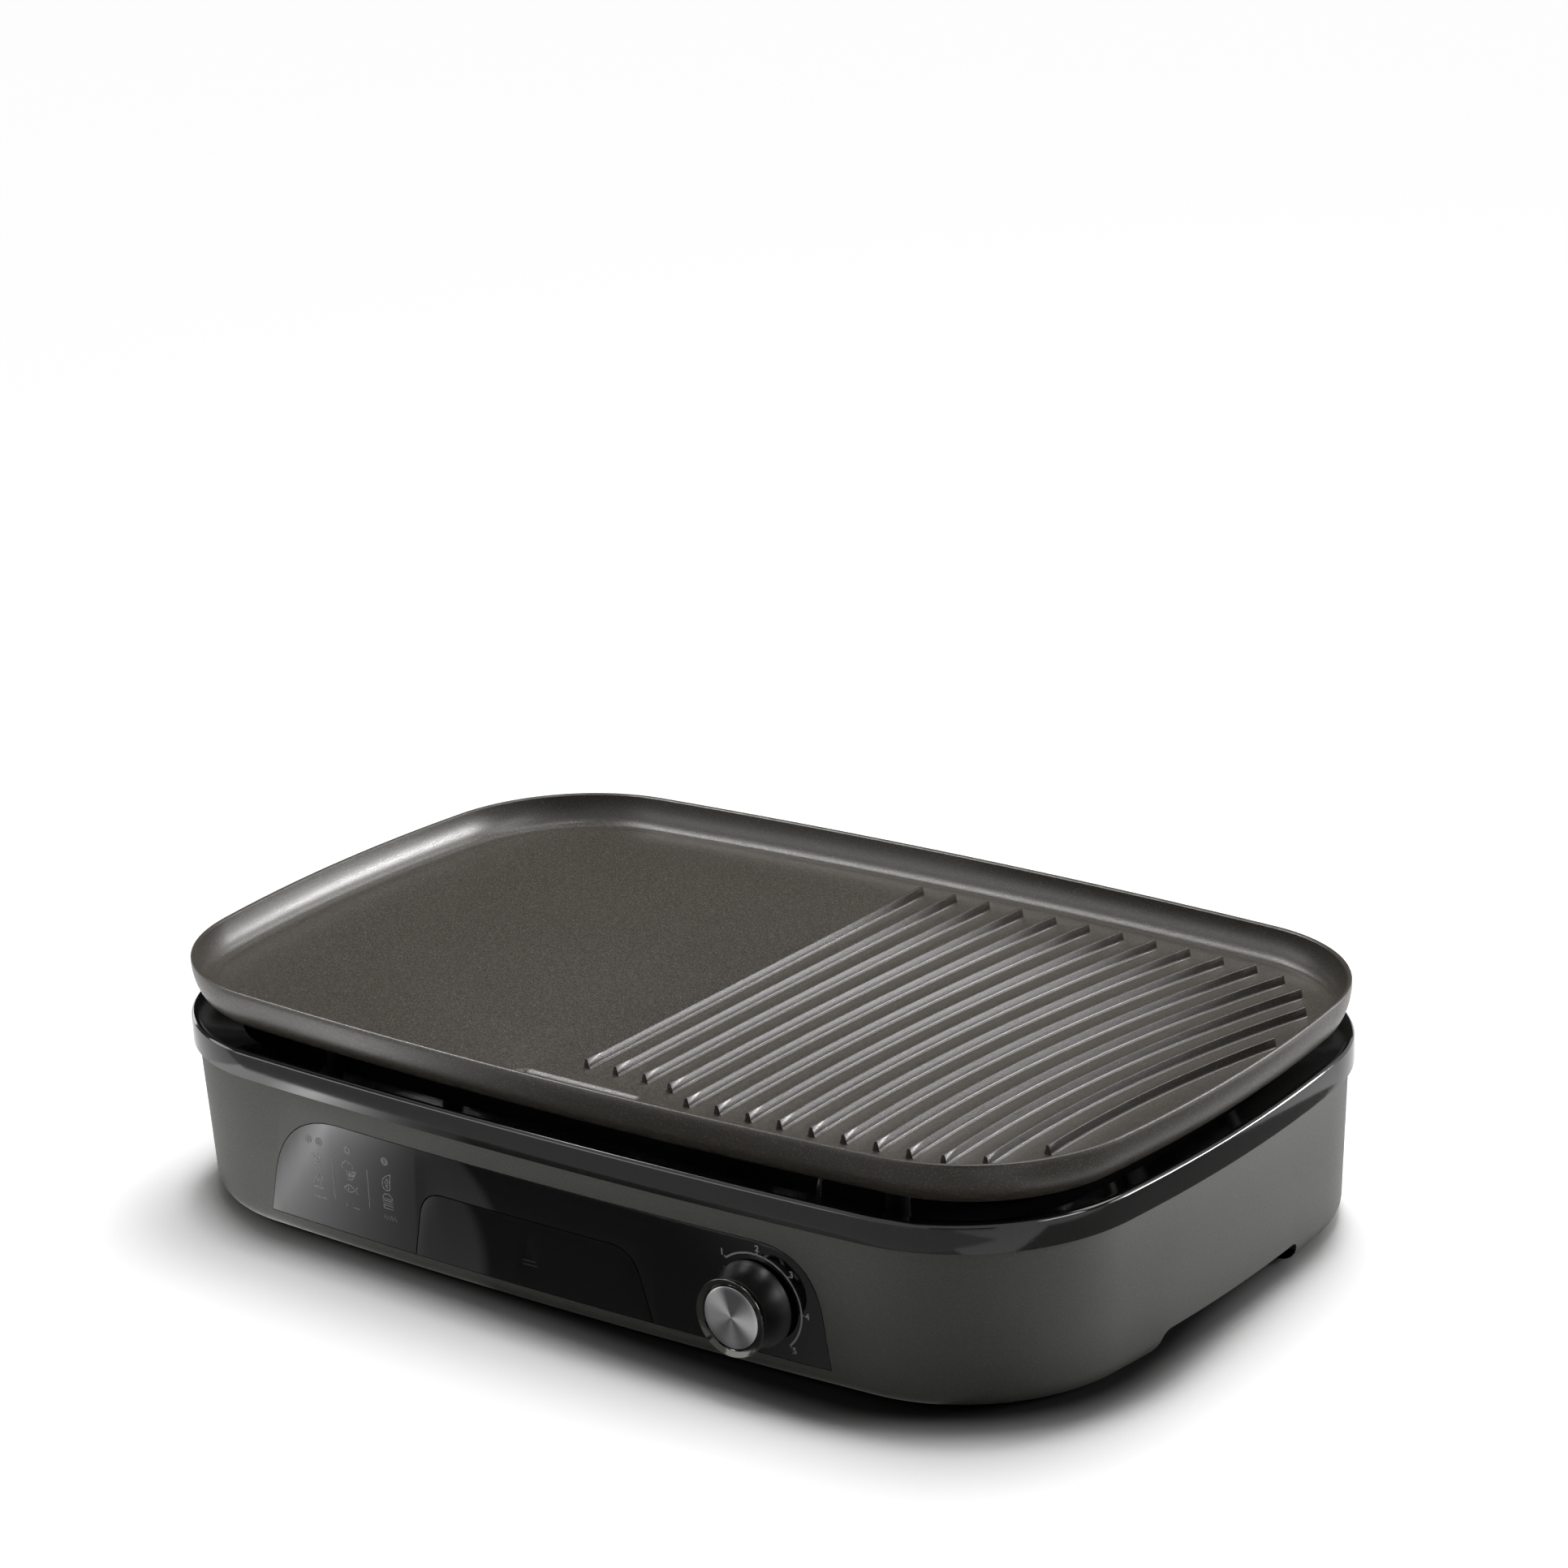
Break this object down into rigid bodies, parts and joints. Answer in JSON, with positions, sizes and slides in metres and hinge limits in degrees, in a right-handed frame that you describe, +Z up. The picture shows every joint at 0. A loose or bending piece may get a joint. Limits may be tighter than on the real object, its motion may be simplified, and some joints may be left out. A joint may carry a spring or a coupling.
{
  "type": "electric table grill",
  "caption": "Low electric table grill: a ribbed, dished cast plate lifts off a round-cornered heated base with a slide-out drip tray and a rotary heat control.",
  "frame": {"origin": "centre of the whole plan, the knob included, at table level, where the foot pads stand", "axes": "+X to the right as seen from the front, along the longest side; +Z up; the front with the control panel faces -Y"},
  "size_m": [0.49, 0.3264, 0.108],
  "materials": {
    "body": "dark grey, fine texture, semi-matt",
    "gloss_black": "gloss black",
    "smoke_trim": "smoked gloss trim",
    "liner": "black enamel",
    "coated_cast": "die-cast, dark speckled non-stick coating",
    "bright_steel": "bright sheet",
    "spun_steel": "spun",
    "dark_chrome": "dark plated",
    "knob_black": "black satin",
    "element_steel": "dulled by heat",
    "cover_black": "matt black, moulded",
    "rubber_black": "matt",
    "ceramic_white": null,
    "zinc_steel": "zinc plated",
    "switch_grey": "moulded",
    "tray_black": "matt black",
    "wire_red": "sleeved wire",
    "wire_blue": "sleeved wire",
    "wire_brown": "sleeved wire"
  },
  "bodies": {
    "base": {"body_shell": "body", "trim_ring": "smoke_trim", "well_liner": "liner", "front_panel": "gloss_black", "base_plate": "cover_black", "reflector_pan": "bright_steel", "heating_element": "element_steel", "element_bushing_1": "ceramic_white", "element_bushing_2": "ceramic_white", "element_clip_1": "liner", "element_clip_2": "liner", "element_clip_3": "liner", "element_clip_4": "liner", "plate_support_1": "liner", "plate_support_2": "liner", "plate_support_3": "liner", "plate_support_4": "liner", "sensor_bulb": "spun_steel", "sensor_clip": "zinc_steel", "capillary_tube": "spun_steel", "thermostat_body": "switch_grey", "thermostat_bracket": "zinc_steel", "terminal_block": "ceramic_white", "cord_gland": "rubber_black", "gland_nut": "cover_black", "wire_live": "wire_brown", "wire_switched": "wire_red", "wire_neutral": "wire_blue", "tray_rail_left": "zinc_steel", "tray_rail_right": "zinc_steel", "foot_pad_1": "rubber_black", "foot_pad_2": "rubber_black", "foot_pad_3": "rubber_black", "foot_pad_4": "rubber_black", "base_screw_1": "zinc_steel", "base_screw_2": "zinc_steel", "base_screw_3": "zinc_steel", "base_screw_4": "zinc_steel", "base_screw_5": "zinc_steel", "base_screw_6": "zinc_steel"},
    "plate": {"grill_plate": "coated_cast"},
    "tray": {"drip_tray": "tray_black", "tray_front": "gloss_black"},
    "knob": {"knob_body": "knob_black", "knob_rim": "dark_chrome", "knob_cap": "spun_steel", "thermostat_shaft": "zinc_steel"}
  },
  "joints": [
    {"name": "plate_lift", "type": "slide", "parent": "base", "child": "plate", "axis": [0, 0, 1], "range_m": [0, 0.12]},
    {"name": "tray_slide", "type": "slide", "parent": "base", "child": "tray", "axis": [0, -1, 0], "range_m": [0, 0.11]},
    {"name": "knob_turn", "type": "hinge", "parent": "base", "child": "knob", "pos_m": [0.1088, -0.1552, 0.032], "axis": [0, 1, 0], "range_deg": [0, 275]}
  ]
}
